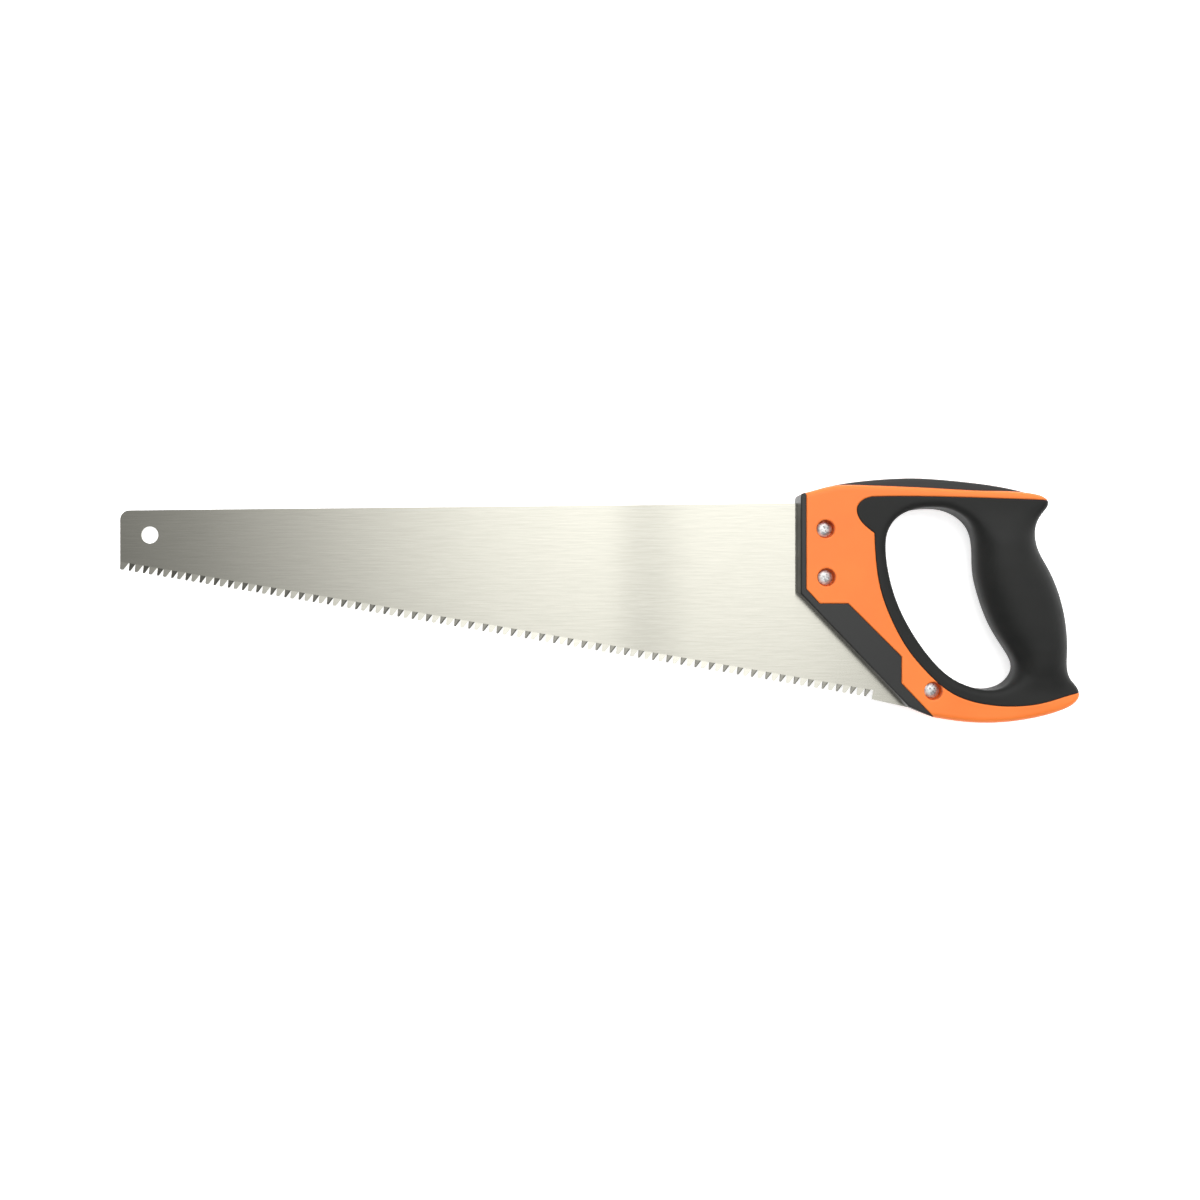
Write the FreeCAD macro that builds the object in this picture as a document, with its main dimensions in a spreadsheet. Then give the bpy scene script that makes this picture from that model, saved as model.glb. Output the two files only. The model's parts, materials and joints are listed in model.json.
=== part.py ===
import FreeCAD
import Part
import Sketcher
import math
import os

# A general-purpose hand saw: a tapered steel blade held by three screws in a two-material D handle.
# It is drawn flat: X runs from the blade's toe to the handle, Y from the teeth to the back, and Z through
# the thickness. The drawing's datum is the toe's back corner in the blade's middle plane. The finished
# sub-parts are then shifted so that the saw lies on Z = 0 with the middle of its outline at the origin.

V = FreeCAD.Vector
doc = FreeCAD.newDocument("hand_saw")
sheet = doc.addObject("Spreadsheet::Sheet", "Sizes")

# alias, value (mm or degrees), what it is
SIZES = [
    ("blade_thick", 0.9, "steel sheet"),
    ("toe_height", 34.6, "back corner of the toe to the tooth line"),
    ("toe_round", 5.5, "radius of the toe's back corner"),
    ("back_slope", 0.6, "rise of the blade's back towards the handle, degrees"),
    ("tooth_slope", 9.68, "fall of the tooth line towards the handle, degrees"),
    ("tooth_first", 1.07, "middle of the first tooth from the toe, along the tooth line"),
    ("tooth_pitch", 4.216, "tip to tip"),
    ("tooth_count", 106, "number of teeth"),
    ("tooth_depth", 4.5, "tip to gullet"),
    ("tooth_front", 3.0, "lean of a tooth's leading flank, degrees"),
    ("tooth_back", 27.5, "lean of a tooth's trailing flank, degrees"),
    ("tooth_flat", 1.4, "width of a tooth's tip"),
    ("hang_radius", 5.0, "hole for a peg at the toe"),
    ("hang_x", 17.4, "hang hole from the toe"),
    ("hang_drop", 14.4, "hang hole below the back corner"),
    ("slot_thick", 1.1, "width of the handle's blade slot"),
    ("frame_thick", 22.0, "flat part of the handle"),
    ("frame_round", 3.0, "rounding of the flat part's outer edges"),
    ("opening_round", 4.0, "rounding of the finger opening's edges"),
    ("skin", 3.0, "thickness of the soft skin over the core"),
    ("ridge_thick", 15.0, "width of the thumb ridge"),
    ("ridge_round", 2.0, "rounding of the thumb ridge"),
    ("screw_radius", 2.0, "M4 screw"),
    ("head_radius", 4.3, "screw and nut heads"),
    ("head_high", 2.6, "height of a head"),
    ("head_dome", 0.7, "height of a head's domed part"),
    ("pocket_radius", 5.3, "recess over each head"),
    ("pocket_depth", 6.5, "depth of that recess"),
    ("screw_reach", 7.6, "length of a screw under its head"),
    ("cross_wide", 1.0, "width of the cross recess"),
    ("cross_long", 4.4, "span of the cross recess"),
    ("cross_deep", 1.5, "depth of the cross recess"),
    ("sleeve_radius", 2.8, "outside of a nut's sleeve"),
    ("sleeve_bore", 2.05, "inside of a nut's sleeve"),
    ("sleeve_reach", 8.1, "length of a nut's sleeve"),
    ("sleeve_hole", 2.9, "clearance hole for the sleeve"),
    ("shank_hole", 2.15, "clearance hole for the screw"),
    ("shank_wall", 0.8, "handle wall between a screw's head and the sleeve"),
]

# Screws: place on the handle, and the turn at which the cross recess came to rest, degrees.
SCREWS = {"front_upper": (412.4, -11.5, 20), "front_lower": (412.9, -39.5, 65), "rear": (474.8, -105.3, 40)}

# Outline of the handle's flat frame, anticlockwise from the horn, with the front corners as straight runs.
# Between horn and heel it keeps about 6 mm inside the grip, whose sections set the outer shape there.
TOP_EDGE = [(542.2, 4.6), (540.0, 6.8), (534.0, 9.1), (505.0, 10.9), (476.0, 12.3), (450.0, 13.5), (420.0, 14.2),
            (409.0, 12.0), (402.0, 9.9)]
FRONT_EDGE = [(402.0, 9.9), (398.0, 8.7), (398.0, -49.0), (460.5, -114.4)]
BOTTOM_EDGE = [(460.5, -114.4), (467.8, -117.7), (475.5, -120.8), (490.5, -123.1), (505.0, -124.0), (519.5, -123.3),
               (538.0, -120.2), (550.5, -116.4), (557.5, -112.4), (560.6, -107.3)]
HEEL_EDGE = [(560.6, -107.3), (559.9, -103.6), (554.6, -99.8), (548.6, -91.0), (547.5, -76.0), (543.6, -56.0),
             (535.6, -36.0), (530.2, -22.0), (531.4, -11.0), (537.2, -4.2), (541.2, 0.8), (542.2, 4.6)]

# The finger opening in the frame, which widens into the grip by the same 6 mm.
OPENING = [(474.0, 1.4), (462.7, -0.4), (453.8, -5.4), (448.7, -13.8), (447.8, -22.3), (449.4, -36.5), (454.5, -54.3),
           (463.2, -71.6), (473.4, -86.0), (485.3, -97.4), (498.9, -103.6), (511.3, -105.0), (522.2, -102.6),
           (530.4, -94.8), (528.6, -85.6), (520.6, -73.0), (513.6, -58.0), (508.4, -42.0), (506.2, -26.0),
           (502.8, -13.0), (496.4, -5.0), (486.0, -0.3)]

# The core's frame, about 3 mm inside the handle's outline and round its opening.
CORE_OUTLINE = [(533.0, 4.0), (505.0, 7.2), (476.0, 8.9), (447.0, 9.9), (418.0, 10.6), (403.6, 6.9), (400.6, 4.0),
                (400.6, -47.0), (461.2, -110.4), (475.5, -117.5), (490.5, -120.0), (505.0, -121.0), (519.5, -120.3),
                (537.0, -117.2), (548.5, -113.0), (552.0, -107.0), (548.0, -97.0), (544.0, -85.0), (542.0, -70.0),
                (537.0, -52.0), (530.0, -34.0), (526.0, -21.0), (527.5, -9.0)]
CORE_OPENING = [(474.0, 4.7), (461.8, 2.8), (450.9, -3.1), (445.3, -13.0), (444.3, -22.0), (445.8, -37.0),
                (451.0, -55.6), (460.0, -73.8), (470.8, -88.7), (483.4, -100.4), (497.8, -107.0), (511.6, -108.5),
                (525.0, -105.8), (534.0, -96.0), (533.0, -85.0), (525.2, -71.5), (518.5, -57.0), (513.2, -41.0),
                (510.6, -26.0), (506.5, -11.5), (499.0, -2.3), (487.0, 2.8)]

# Sections across the grip, from horn to heel: Y, the finger side's X, the palm side's X, half the thickness.
GRIP_SECTIONS = [(5.0, 488.0, 541.1, 9.5), (0.0, 490.5, 540.8, 11.1), (-8.0, 497.4, 536.5, 13.2),
                 (-18.0, 500.6, 536.2, 14.6), (-32.0, 501.1, 542.6, 15.4), (-50.0, 504.5, 550.4, 15.5),
                 (-68.0, 511.1, 554.2, 15.4), (-82.0, 519.5, 554.8, 14.8), (-93.0, 524.4, 554.9, 13.6),
                 (-101.0, 520.4, 557.6, 12.2), (-108.0, 512.6, 557.0, 9.8)]

# Where soft skin meets hard core on the faces. Each list runs on past the handle, where nothing is cut.
SKIN_TOP = [(570.0, 3.4), (539.1, 5.2), (507.0, 6.6), (479.0, 7.4), (451.8, 7.6), (439.1, 7.3)]
SKIN_LOBE = [(439.1, 7.3), (434.4, 5.7), (430.6, 1.0), (431.9, -5.5), (436.9, -11.0), (440.6, -13.9)]
SKIN_RING = [(440.6, -13.9), (441.2, -26.0), (444.2, -46.5), (450.7, -64.5), (460.4, -81.8), (472.6, -96.1),
             (486.5, -107.2), (500.4, -112.2), (519.5, -114.3), (540.3, -111.9), (553.6, -107.7), (570.0, -100.0)]
GUARD_INNER = [(401.2, 30.0), (401.3, -46.2), (409.0, -54.6), (425.5, -54.6), (456.4, -85.4), (456.4, -100.8),
               (476.4, -122.1), (478.4, -124.2)]
GUARD_OUTER = [(470.0, -140.0), (380.0, -60.0), (380.0, 30.0)]

# Upper edge of the thumb ridge, which stands on the frame's top edge.
RIDGE_TOP = [(417.6, 14.2), (428.1, 15.9), (442.1, 17.4), (452.5, 18.1), (463.0, 18.4), (474.0, 18.0),
             (494.4, 16.2), (515.3, 13.3), (536.4, 7.9)]

# The blade's tang inside the handle, from the heel up to the back edge.
TANG = [(477.5, -118.9), (482.0, -112.0), (482.0, -103.0), (461.0, -83.0), (446.0, -60.0), (437.5, -28.0)]
TANG_STEP = 1.5      # from the tang's last corner across to where it meets the blade's back
HEEL_STEP = 1.1      # from the tooth line down to the heel's lower edge
GULLET_BELOW = 0.5   # how far a gullet's outline runs on past the tooth line
RIM_MARGIN = 1.0     # how far a recess's cylinder runs on past the handle's face

SLOT_GAP = 0.3       # between the blade's hidden edges and the slot's
RIDGE_SEAT = 2.4     # depth of the ridge's channel under the handle's top edge
SECTION_POWER = 2.4  # squareness of the grip's sections: 2 is an ellipse


def fill_sheet():
    """Writes each size as a plain number with its alias and meaning."""
    for row, (alias, value, meaning) in enumerate(SIZES, start=1):
        sheet.set(f"A{row}", meaning)
        sheet.set(f"B{row}", str(value))
        sheet.setAlias(f"B{row}", alias)
    doc.recompute()


def size(alias):
    """A cell's value."""
    return float(sheet.get(alias))


def bind(obj, **properties):
    """Binds properties of an object to expressions on the sheet."""
    for name, expression in properties.items():
        obj.setExpression(name, expression)


def points(pairs):
    return [V(x, y, 0) for x, y in pairs]


def curve(pairs):
    """One smooth curve through the given points."""
    spline = Part.BSplineCurve()
    spline.interpolate(points(pairs))
    return spline


def loop(pairs):
    """One smooth closed curve through the given points."""
    spline = Part.BSplineCurve()
    spline.interpolate(points(pairs), PeriodicFlag=True)
    return spline


def lines(pairs):
    """Straight runs from point to point."""
    corners = points(pairs)
    return [Part.LineSegment(a, b) for a, b in zip(corners, corners[1:])]


def body(label):
    made = doc.addObject("PartDesign::Body", label)
    made.Label = label
    return made


def plane(owner, role):
    return next(f for f in owner.Origin.OriginFeatures if f.Role == role)


def sketch(owner, name, geometry, role="XY_Plane"):
    """A sketch on one of the body's own origin planes."""
    made = owner.newObject("Sketcher::SketchObject", name)
    made.AttachmentSupport = [(plane(owner, role), "")]
    made.MapMode = "FlatFace"
    made.addGeometry(geometry, False)
    return made


def join_ends(made, count):
    """Ties each of the first count edges to the next, so that they stay one closed outline."""
    for i in range(count):
        made.addConstraint(Sketcher.Constraint("Coincident", i, 2, (i + 1) % count, 1))


def pad(owner, name, profile, length):
    """A pad that grows equally to both sides of the middle plane."""
    made = owner.newObject("PartDesign::Pad", name)
    made.Profile = profile
    made.SideType = "Symmetric"
    bind(made, Length=length)
    profile.Visibility = False
    return made


def pocket_through(owner, name, profile):
    made = owner.newObject("PartDesign::Pocket", name)
    made.Profile = profile
    made.SideType = "Symmetric"
    made.Type = "ThroughAll"
    return made


def boolean(kind, label, *shapes):
    """Part::Cut, Part::Common, Part::Fuse or Part::MultiFuse of the given objects."""
    made = doc.addObject("Part::" + kind, label)
    made.Label = label
    if kind == "MultiFuse":
        made.Shapes = list(shapes)
    else:
        made.Base, made.Tool = shapes
    made.Refine = False
    return made


# ---------------------------------------------------------------- blade

def back_y(x):
    """Height of the blade's back edge."""
    return x * math.tan(math.radians(size("back_slope")))


def tooth_line(along):
    """A point on the line of tooth tips."""
    a = math.radians(size("tooth_slope"))
    return along * math.cos(a), -size("toe_height") - along * math.sin(a)


def teeth_end():
    """Where the row of teeth ends, on the tooth line."""
    return tooth_line(size("tooth_first") + size("tooth_pitch") * size("tooth_count"))


def hidden_edge(gap=0.0):
    """Corners of the blade from the end of its teeth, round the tang, to its back edge, grown by a gap."""
    x, y = teeth_end()
    heel_x, heel_y = TANG[0]
    back_x = TANG[-1][0] - TANG_STEP
    around = [(x, y - HEEL_STEP - gap), (heel_x + gap, heel_y - gap)]
    return around + [(tx + gap, ty) for tx, ty in TANG[1:]] + [(back_x + gap, back_y(back_x) + gap)]


def blade_edges():
    """The blade's outline, anticlockwise from the toe, with the teeth not yet cut."""
    r = size("toe_round")
    slope = math.radians(size("back_slope"))
    half_turn = math.pi / 4 - slope / 2
    centre = V(r, -r * math.tan(half_turn), 0)
    back_start = centre + V(-math.sin(slope), math.cos(slope), 0) * r
    middle = centre + V(-math.cos(half_turn), math.sin(half_turn), 0) * r
    toe_top = V(0, centre.y, 0)
    toe_bottom = V(0, -size("toe_height"), 0)
    corners = [toe_bottom, *points([teeth_end()] + hidden_edge()), back_start]
    edges = [Part.LineSegment(a, b) for a, b in zip(corners, corners[1:])]
    return edges + [Part.Arc(back_start, middle, toe_top), Part.LineSegment(toe_top, toe_bottom)]


def make_blade():
    """The toothed blade with its hang hole and the three holes for the sleeve nuts."""
    made = body("blade")
    edges = blade_edges()
    outline = sketch(made, "blade_outline", edges)
    join_ends(outline, len(edges))
    pad(made, "blade_sheet", outline, "Sizes.blade_thick")

    up = V(0, 0, 1)
    radii = ["hang_radius"] + ["sleeve_hole"] * len(SCREWS)
    places = [(size("hang_x"), -size("hang_drop"))] + [(x, y) for x, y, _ in SCREWS.values()]
    circles = [Part.Circle(V(x, y, 0), up, size(radius)) for (x, y), radius in zip(places, radii)]
    holes = sketch(made, "blade_holes", circles)
    for i, radius in enumerate(radii):
        c = holes.addConstraint(Sketcher.Constraint("Radius", i, size(radius)))
        holes.setExpression(f"Constraints[{c}]", f"Sizes.{radius}")
    pocket_through(made, "holes", holes)

    gullet = sketch(made, "gullet_outline", gullet_edges())
    join_ends(gullet, 4)
    start = tooth_line(size("tooth_first"))
    gullet.AttachmentOffset = FreeCAD.Placement(V(*start, 0), FreeCAD.Rotation(V(0, 0, 1), -size("tooth_slope")))
    cut = pocket_through(made, "gullet", gullet)
    doc.recompute()
    row = made.newObject("PartDesign::LinearPattern", "teeth")
    row.Originals = [cut]
    row.Direction = (gullet, ["H_Axis"])
    bind(row, Length="Sizes.tooth_pitch * (Sizes.tooth_count - 1)", Occurrences="Sizes.tooth_count")
    made.Tip = row
    return made


def gullet_edges():
    """The gap between two teeth, along the tooth line from the first tooth's middle."""
    depth, flat, pitch = size("tooth_depth"), size("tooth_flat") / 2, size("tooth_pitch")
    back, front = math.tan(math.radians(size("tooth_back"))), math.tan(math.radians(size("tooth_front")))
    corners = [(flat - GULLET_BELOW * back, -GULLET_BELOW), (pitch - flat + GULLET_BELOW * front, -GULLET_BELOW),
               (pitch - flat - depth * front, depth), (flat + depth * back, depth)]
    return lines(corners + corners[:1])


# ---------------------------------------------------------------- handle forms

def section(x0, x1, half, inset):
    """A closed grip section: X across the grip, Y through the thickness, a superellipse."""
    middle, a, b = (x0 + x1) / 2, (x1 - x0) / 2 - inset, half - inset
    power = 2 / SECTION_POWER
    around = []
    for i in range(16):
        c, s = math.cos(i * math.pi / 8), math.sin(i * math.pi / 8)
        around.append((middle + a * math.copysign(abs(c) ** power, c), b * math.copysign(abs(s) ** power, s)))
    return loop(around)


def grip_form(label, sections, inset=0.0):
    """The grip's rounded form, lofted through its sections."""
    made = body(label)
    profiles = []
    for i, (y, x0, x1, half) in enumerate(sections):
        profile = sketch(made, f"{label}_section_{i}", [section(x0, x1, half, inset)], "XZ_Plane")
        profile.AttachmentOffset = FreeCAD.Placement(V(0, 0, -y), FreeCAD.Rotation())
        profiles.append(profile)
    loft = made.newObject("PartDesign::AdditiveLoft", label + "_loft")
    loft.Profile = profiles[0]
    loft.Sections = profiles[1:]
    return made


def frame_edges():
    """The frame's outline and its opening."""
    return [curve(TOP_EDGE), *lines(FRONT_EDGE), curve(BOTTOM_EDGE), curve(HEEL_EDGE)], loop(OPENING)


def round_rims(owner, name, base, radius, wanted):
    """Rounds the edges of the plate's two faces that are wanted."""
    doc.recompute()
    flat = size("frame_thick") / 2
    rims = [f"Edge{i}" for i, edge in enumerate(base.Shape.Edges, start=1)
            if all(abs(abs(v.Z) - flat) < 1e-6 for v in edge.Vertexes) and edge.Length > 1 and wanted(edge)]
    made = owner.newObject("PartDesign::Fillet", name)
    made.Base = (base, rims)
    bind(made, Radius=radius)
    return made


def frame_form():
    """The D handle's flat frame. Its heel edge lies inside the grip and stays square."""
    made = body("frame_form")
    outer, opening = frame_edges()
    profile = sketch(made, "frame_outline", outer)
    join_ends(profile, len(outer))
    profile.addGeometry(opening, False)
    plate = pad(made, "frame_plate", profile, "Sizes.frame_thick")
    heel_x = min(x for x, _ in HEEL_EDGE)
    rounded = round_rims(made, "frame_rounding", plate, "Sizes.frame_round",
                         lambda edge: len(edge.Vertexes) == 2 and edge.CenterOfMass.x < heel_x)
    round_rims(made, "opening_rounding", rounded, "Sizes.opening_round", lambda edge: len(edge.Vertexes) == 1)
    return made


def core_frame():
    """The core's own frame under the skin."""
    made = body("core_frame")
    outer = lines(CORE_OUTLINE + CORE_OUTLINE[:1])
    profile = sketch(made, "core_outline", outer)
    join_ends(profile, len(outer))
    profile.addGeometry(loop(CORE_OPENING), False)
    pad(made, "core_plate", profile, "Sizes.frame_thick - 2 * Sizes.skin")
    return made


def screw_prisms(label, radius, low, high):
    """Upright cylinders at the three screws, between two heights."""
    cylinders = []
    for name, (x, y, _) in SCREWS.items():
        made = doc.addObject("Part::Cylinder", f"{label}_{name}")
        bind(made, Radius=radius, Height=f"({high}) - ({low})")
        made.setExpression("Placement.Base.z", low)
        made.Placement.Base = V(x, y, 0)
        cylinders.append(made)
    return boolean("MultiFuse", label, *cylinders)


def bored(base):
    """The core with its recesses, sleeve holes and screw holes."""
    face = "Sizes.frame_thick / 2"
    seat = f"{face} - Sizes.pocket_depth"
    sleeve_end = f"{seat} - Sizes.shank_wall"
    reach = f"(Sizes.pocket_depth + {RIM_MARGIN})"
    front = screw_prisms("front_recesses", "Sizes.pocket_radius", seat, f"{seat} + {reach}")
    back = screw_prisms("back_recesses", "Sizes.pocket_radius", f"-({seat}) - {reach}", f"-({seat})")
    sleeves = screw_prisms("sleeve_holes", "Sizes.sleeve_hole", f"-({seat})", sleeve_end)
    shanks = screw_prisms("shank_holes", "Sizes.shank_hole", sleeve_end, seat)
    return boolean("Cut", "handle_core", base, boolean("MultiFuse", "all_holes", front, back, sleeves, shanks))


# ---------------------------------------------------------------- handle

def zone(label, edges):
    """A region of the handle's faces, right through it."""
    made = body(label)
    profile = sketch(made, label + "_outline", edges)
    join_ends(profile, len(edges))
    pad(made, label + "_pad", profile, "Sizes.frame_thick * 2")
    return made


def soft_zone():
    """Where the soft skin is: the grip, the ring round the opening and the lobe at its top."""
    edges = [curve(SKIN_TOP), curve(SKIN_LOBE), curve(SKIN_RING), *lines([SKIN_RING[-1], SKIN_TOP[0]])]
    return zone("soft_zone", edges)


def slot():
    """The blade's slot, open towards the front and below."""
    made = body("blade_slot")
    hidden = hidden_edge(SLOT_GAP)
    outside = min(x for x, _ in GUARD_OUTER)
    corners = hidden + [(outside, hidden[-1][1]), (outside, hidden[0][1])]
    edges = lines(corners + corners[:1])
    profile = sketch(made, "slot_outline", edges)
    join_ends(profile, len(edges))
    pad(made, "slot_pad", profile, "Sizes.slot_thick")
    return made


def make_ridge():
    """The soft thumb ridge on the handle's top, which sits in a shallow channel."""
    made = body("top_ridge")
    first, last = RIDGE_TOP[0], RIDGE_TOP[-1]
    seat = [(x, y - RIDGE_SEAT) for x, y in [last, *TOP_EDGE[3:6], first]]
    edges = [curve(RIDGE_TOP), *lines([last, seat[0]]), curve(seat), *lines([seat[-1], first])]
    profile = sketch(made, "ridge_outline", edges)
    join_ends(profile, len(edges))
    block = pad(made, "ridge_block", profile, "Sizes.ridge_thick")
    doc.recompute()
    half = size("ridge_thick") / 2
    above = max(y for _, y in TOP_EDGE)
    rims = [f"Edge{i}" for i, edge in enumerate(block.Shape.Edges, start=1)
            if all(abs(abs(v.Z) - half) < 1e-6 for v in edge.Vertexes) and edge.CenterOfMass.y > above]
    rounding = made.newObject("PartDesign::Fillet", "ridge_rounding")
    rounding.Base = (block, rims)
    bind(rounding, Radius="Sizes.ridge_round")
    return made


def make_handle():
    """The hard core, the soft skin, the front guard and the thumb ridge."""
    whole = boolean("Fuse", "handle_form", frame_form(), grip_form("grip_form", GRIP_SECTIONS))
    soft = soft_zone()
    guard = zone("guard_zone", lines(GUARD_INNER + GUARD_OUTER + GUARD_INNER[:1]))
    inner = boolean("Fuse", "inner_core", core_frame(), grip_form("core_grip", GRIP_SECTIONS[1:-1], size("skin")))
    hard = boolean("Cut", "hard_surface", whole, boolean("Fuse", "skinned", soft, guard))
    ridge = make_ridge()
    solid_core = boolean("Fuse", "solid_core", hard, inner)
    blade_slot = slot()
    core = bored(boolean("Cut", "slotted_core", solid_core, boolean("Fuse", "core_gaps", ridge, blade_slot)))
    taken = boolean("Fuse", "core_and_slot", inner, blade_slot)
    skin = boolean("Cut", "grip_overmould", boolean("Common", "soft_form", whole, soft), taken)
    front = boolean("Cut", "front_guard", boolean("Common", "guard_form", whole, guard), taken)
    return core, skin, front, ridge


# ---------------------------------------------------------------- screws and sleeve nuts

def dome(z):
    """The head's outline above its rim: a straight side and then an arc to the axis, up or down by z's sign."""
    r, rim, top = size("head_radius"), size("head_high") - size("head_dome"), size("head_high")
    radius = (r * r + (top - rim) ** 2) / (2 * (top - rim))
    across = r * math.sin(math.pi / 4)
    middle = top - radius + math.sqrt(radius * radius - across * across)
    side = Part.LineSegment(V(r, 0, 0), V(r, rim * z, 0))
    return [side, Part.Arc(V(r, rim * z, 0), V(across, middle * z, 0), V(0, top * z, 0))]


def revolve(owner, label, edges):
    """A turned piece: its half outline in the XZ plane, turned about the vertical axis."""
    profile = sketch(owner, label + "_outline", edges, "XZ_Plane")
    turned = owner.newObject("PartDesign::Revolution", label + "_turned")
    turned.Profile = profile
    turned.ReferenceAxis = (profile, ["V_Axis"])
    turned.Angle = 360
    return turned


def cross_recess(owner, label, z):
    """The cross recess in a head that points up (z = 1) or down (z = -1)."""
    wide, long = size("cross_wide") / 2, size("cross_long") / 2
    corners = [(long, -wide), (long, wide), (wide, wide), (wide, long), (-wide, long), (-wide, wide),
               (-long, wide), (-long, -wide), (-wide, -wide), (-wide, -long), (wide, -long), (wide, -wide)]
    profile = sketch(owner, label + "_cross", lines(corners + corners[:1]))
    profile.setExpression("AttachmentOffset.Base.z", f"{z} * Sizes.head_high")
    cut = owner.newObject("PartDesign::Pocket", label + "_recess")
    cut.Profile = profile
    cut.Reversed = z < 0
    bind(cut, Length="Sizes.cross_deep")


def make_screw(name):
    """An M4 screw with a domed head, its seat at height 0."""
    label = "screw_" + name
    made = body(label)
    shank, reach = size("screw_radius"), size("screw_reach")
    top = V(0, size("head_high"), 0)
    foot = [top, V(0, -reach, 0), V(shank, -reach, 0), V(shank, 0, 0), V(size("head_radius"), 0, 0)]
    revolve(made, label, [Part.LineSegment(a, b) for a, b in zip(foot, foot[1:])] + dome(1))
    cross_recess(made, label, 1)
    return made


def make_nut(name):
    """A sleeve nut with a domed head, its seat at height 0 and its sleeve upwards."""
    label = "sleeve_nut_" + name
    made = body(label)
    bore, sleeve, reach = size("sleeve_bore"), size("sleeve_radius"), size("sleeve_reach")
    foot = [V(0, -size("head_high"), 0), V(0, 0, 0), V(bore, 0, 0), V(bore, reach, 0), V(sleeve, reach, 0),
            V(sleeve, 0, 0), V(size("head_radius"), 0, 0)]
    revolve(made, label, [Part.LineSegment(a, b) for a, b in zip(foot, foot[1:])] + dome(-1))
    cross_recess(made, label, -1)
    return made


def make_fasteners():
    """The three screws on the front face and their sleeve nuts on the back face."""
    seat = size("frame_thick") / 2 - size("pocket_depth")
    made = []
    for name, (x, y, turn) in SCREWS.items():
        for piece, z in ((make_screw(name), seat), (make_nut(name), -seat)):
            piece.Placement = FreeCAD.Placement(V(x, y, z), FreeCAD.Rotation(V(0, 0, 1), turn))
            made.append(piece)
    return made


# ---------------------------------------------------------------- the whole saw

def lay_flat(pieces):
    """Moves the saw so that it lies on Z = 0 with the middle of its outline at the origin."""
    box = Part.makeCompound([piece.Shape for piece in pieces]).optimalBoundingBox()
    shift = V(-box.Center.x, -box.Center.y, -box.ZMin)
    for piece in pieces:
        place = piece.Placement
        piece.Placement = FreeCAD.Placement(place.Base + shift, place.Rotation)


def check(pieces):
    """Stops if any object failed or any piece isn't one valid solid."""
    failed = [o.Label for o in doc.Objects if {"Invalid", "Error"} & set(o.State)]
    failed += [p.Label for p in pieces if p.Shape.isNull() or not p.Shape.isValid() or len(p.Shape.Solids) != 1]
    if failed:
        raise RuntimeError(f"failed: {failed}")


fill_sheet()
pieces = [make_blade(), *make_handle(), *make_fasteners()]
doc.recompute()
check(pieces)
lay_flat(pieces)
doc.recompute()
check(pieces)

os.makedirs("parts", exist_ok=True)
for piece in pieces:
    piece.Shape.exportStep(f"parts/{piece.Label}.step")
    print(piece.Label, round(piece.Shape.Volume), piece.Shape.optimalBoundingBox())
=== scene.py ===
import json
import math

import bmesh
import bpy
import numpy as np
from mathutils.geometry import delaunay_2d_cdt
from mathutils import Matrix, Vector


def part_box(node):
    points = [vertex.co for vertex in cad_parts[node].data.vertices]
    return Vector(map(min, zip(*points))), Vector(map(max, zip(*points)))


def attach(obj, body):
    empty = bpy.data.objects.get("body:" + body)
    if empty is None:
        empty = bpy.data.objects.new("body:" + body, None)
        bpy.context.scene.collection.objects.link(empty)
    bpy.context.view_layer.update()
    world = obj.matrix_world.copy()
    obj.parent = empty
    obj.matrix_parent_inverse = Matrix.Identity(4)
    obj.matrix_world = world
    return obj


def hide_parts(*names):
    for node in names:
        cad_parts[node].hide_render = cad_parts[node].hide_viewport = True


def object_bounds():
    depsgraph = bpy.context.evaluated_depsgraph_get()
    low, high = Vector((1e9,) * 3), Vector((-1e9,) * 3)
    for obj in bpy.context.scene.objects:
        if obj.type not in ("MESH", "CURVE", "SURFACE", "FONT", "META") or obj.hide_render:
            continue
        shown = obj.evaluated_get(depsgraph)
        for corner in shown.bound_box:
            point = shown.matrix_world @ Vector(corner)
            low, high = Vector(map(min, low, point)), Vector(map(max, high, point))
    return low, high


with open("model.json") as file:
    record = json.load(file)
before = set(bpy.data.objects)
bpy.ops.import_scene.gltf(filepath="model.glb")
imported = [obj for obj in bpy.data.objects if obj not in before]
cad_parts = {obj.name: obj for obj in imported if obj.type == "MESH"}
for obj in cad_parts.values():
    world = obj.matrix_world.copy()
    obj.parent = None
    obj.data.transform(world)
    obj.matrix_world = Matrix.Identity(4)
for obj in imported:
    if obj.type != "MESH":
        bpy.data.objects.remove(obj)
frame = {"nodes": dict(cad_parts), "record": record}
cad_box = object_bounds()

# The saw is drawn in millimetres: X from the blade's toe to the handle, Y from the teeth to the back, and Z
# up from the blade's middle plane. The hang hole's mount fixes that drawing in the frame.
MM = 0.001
HANG_HOLE = np.array([17.4, -14.4, 0.0])
hang_mount = next(m for m in frame["record"]["mounts"] if m["name"] == "hang_hole")
DATUM = np.array(hang_mount["pos_m"]) - HANG_HOLE * MM

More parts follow.
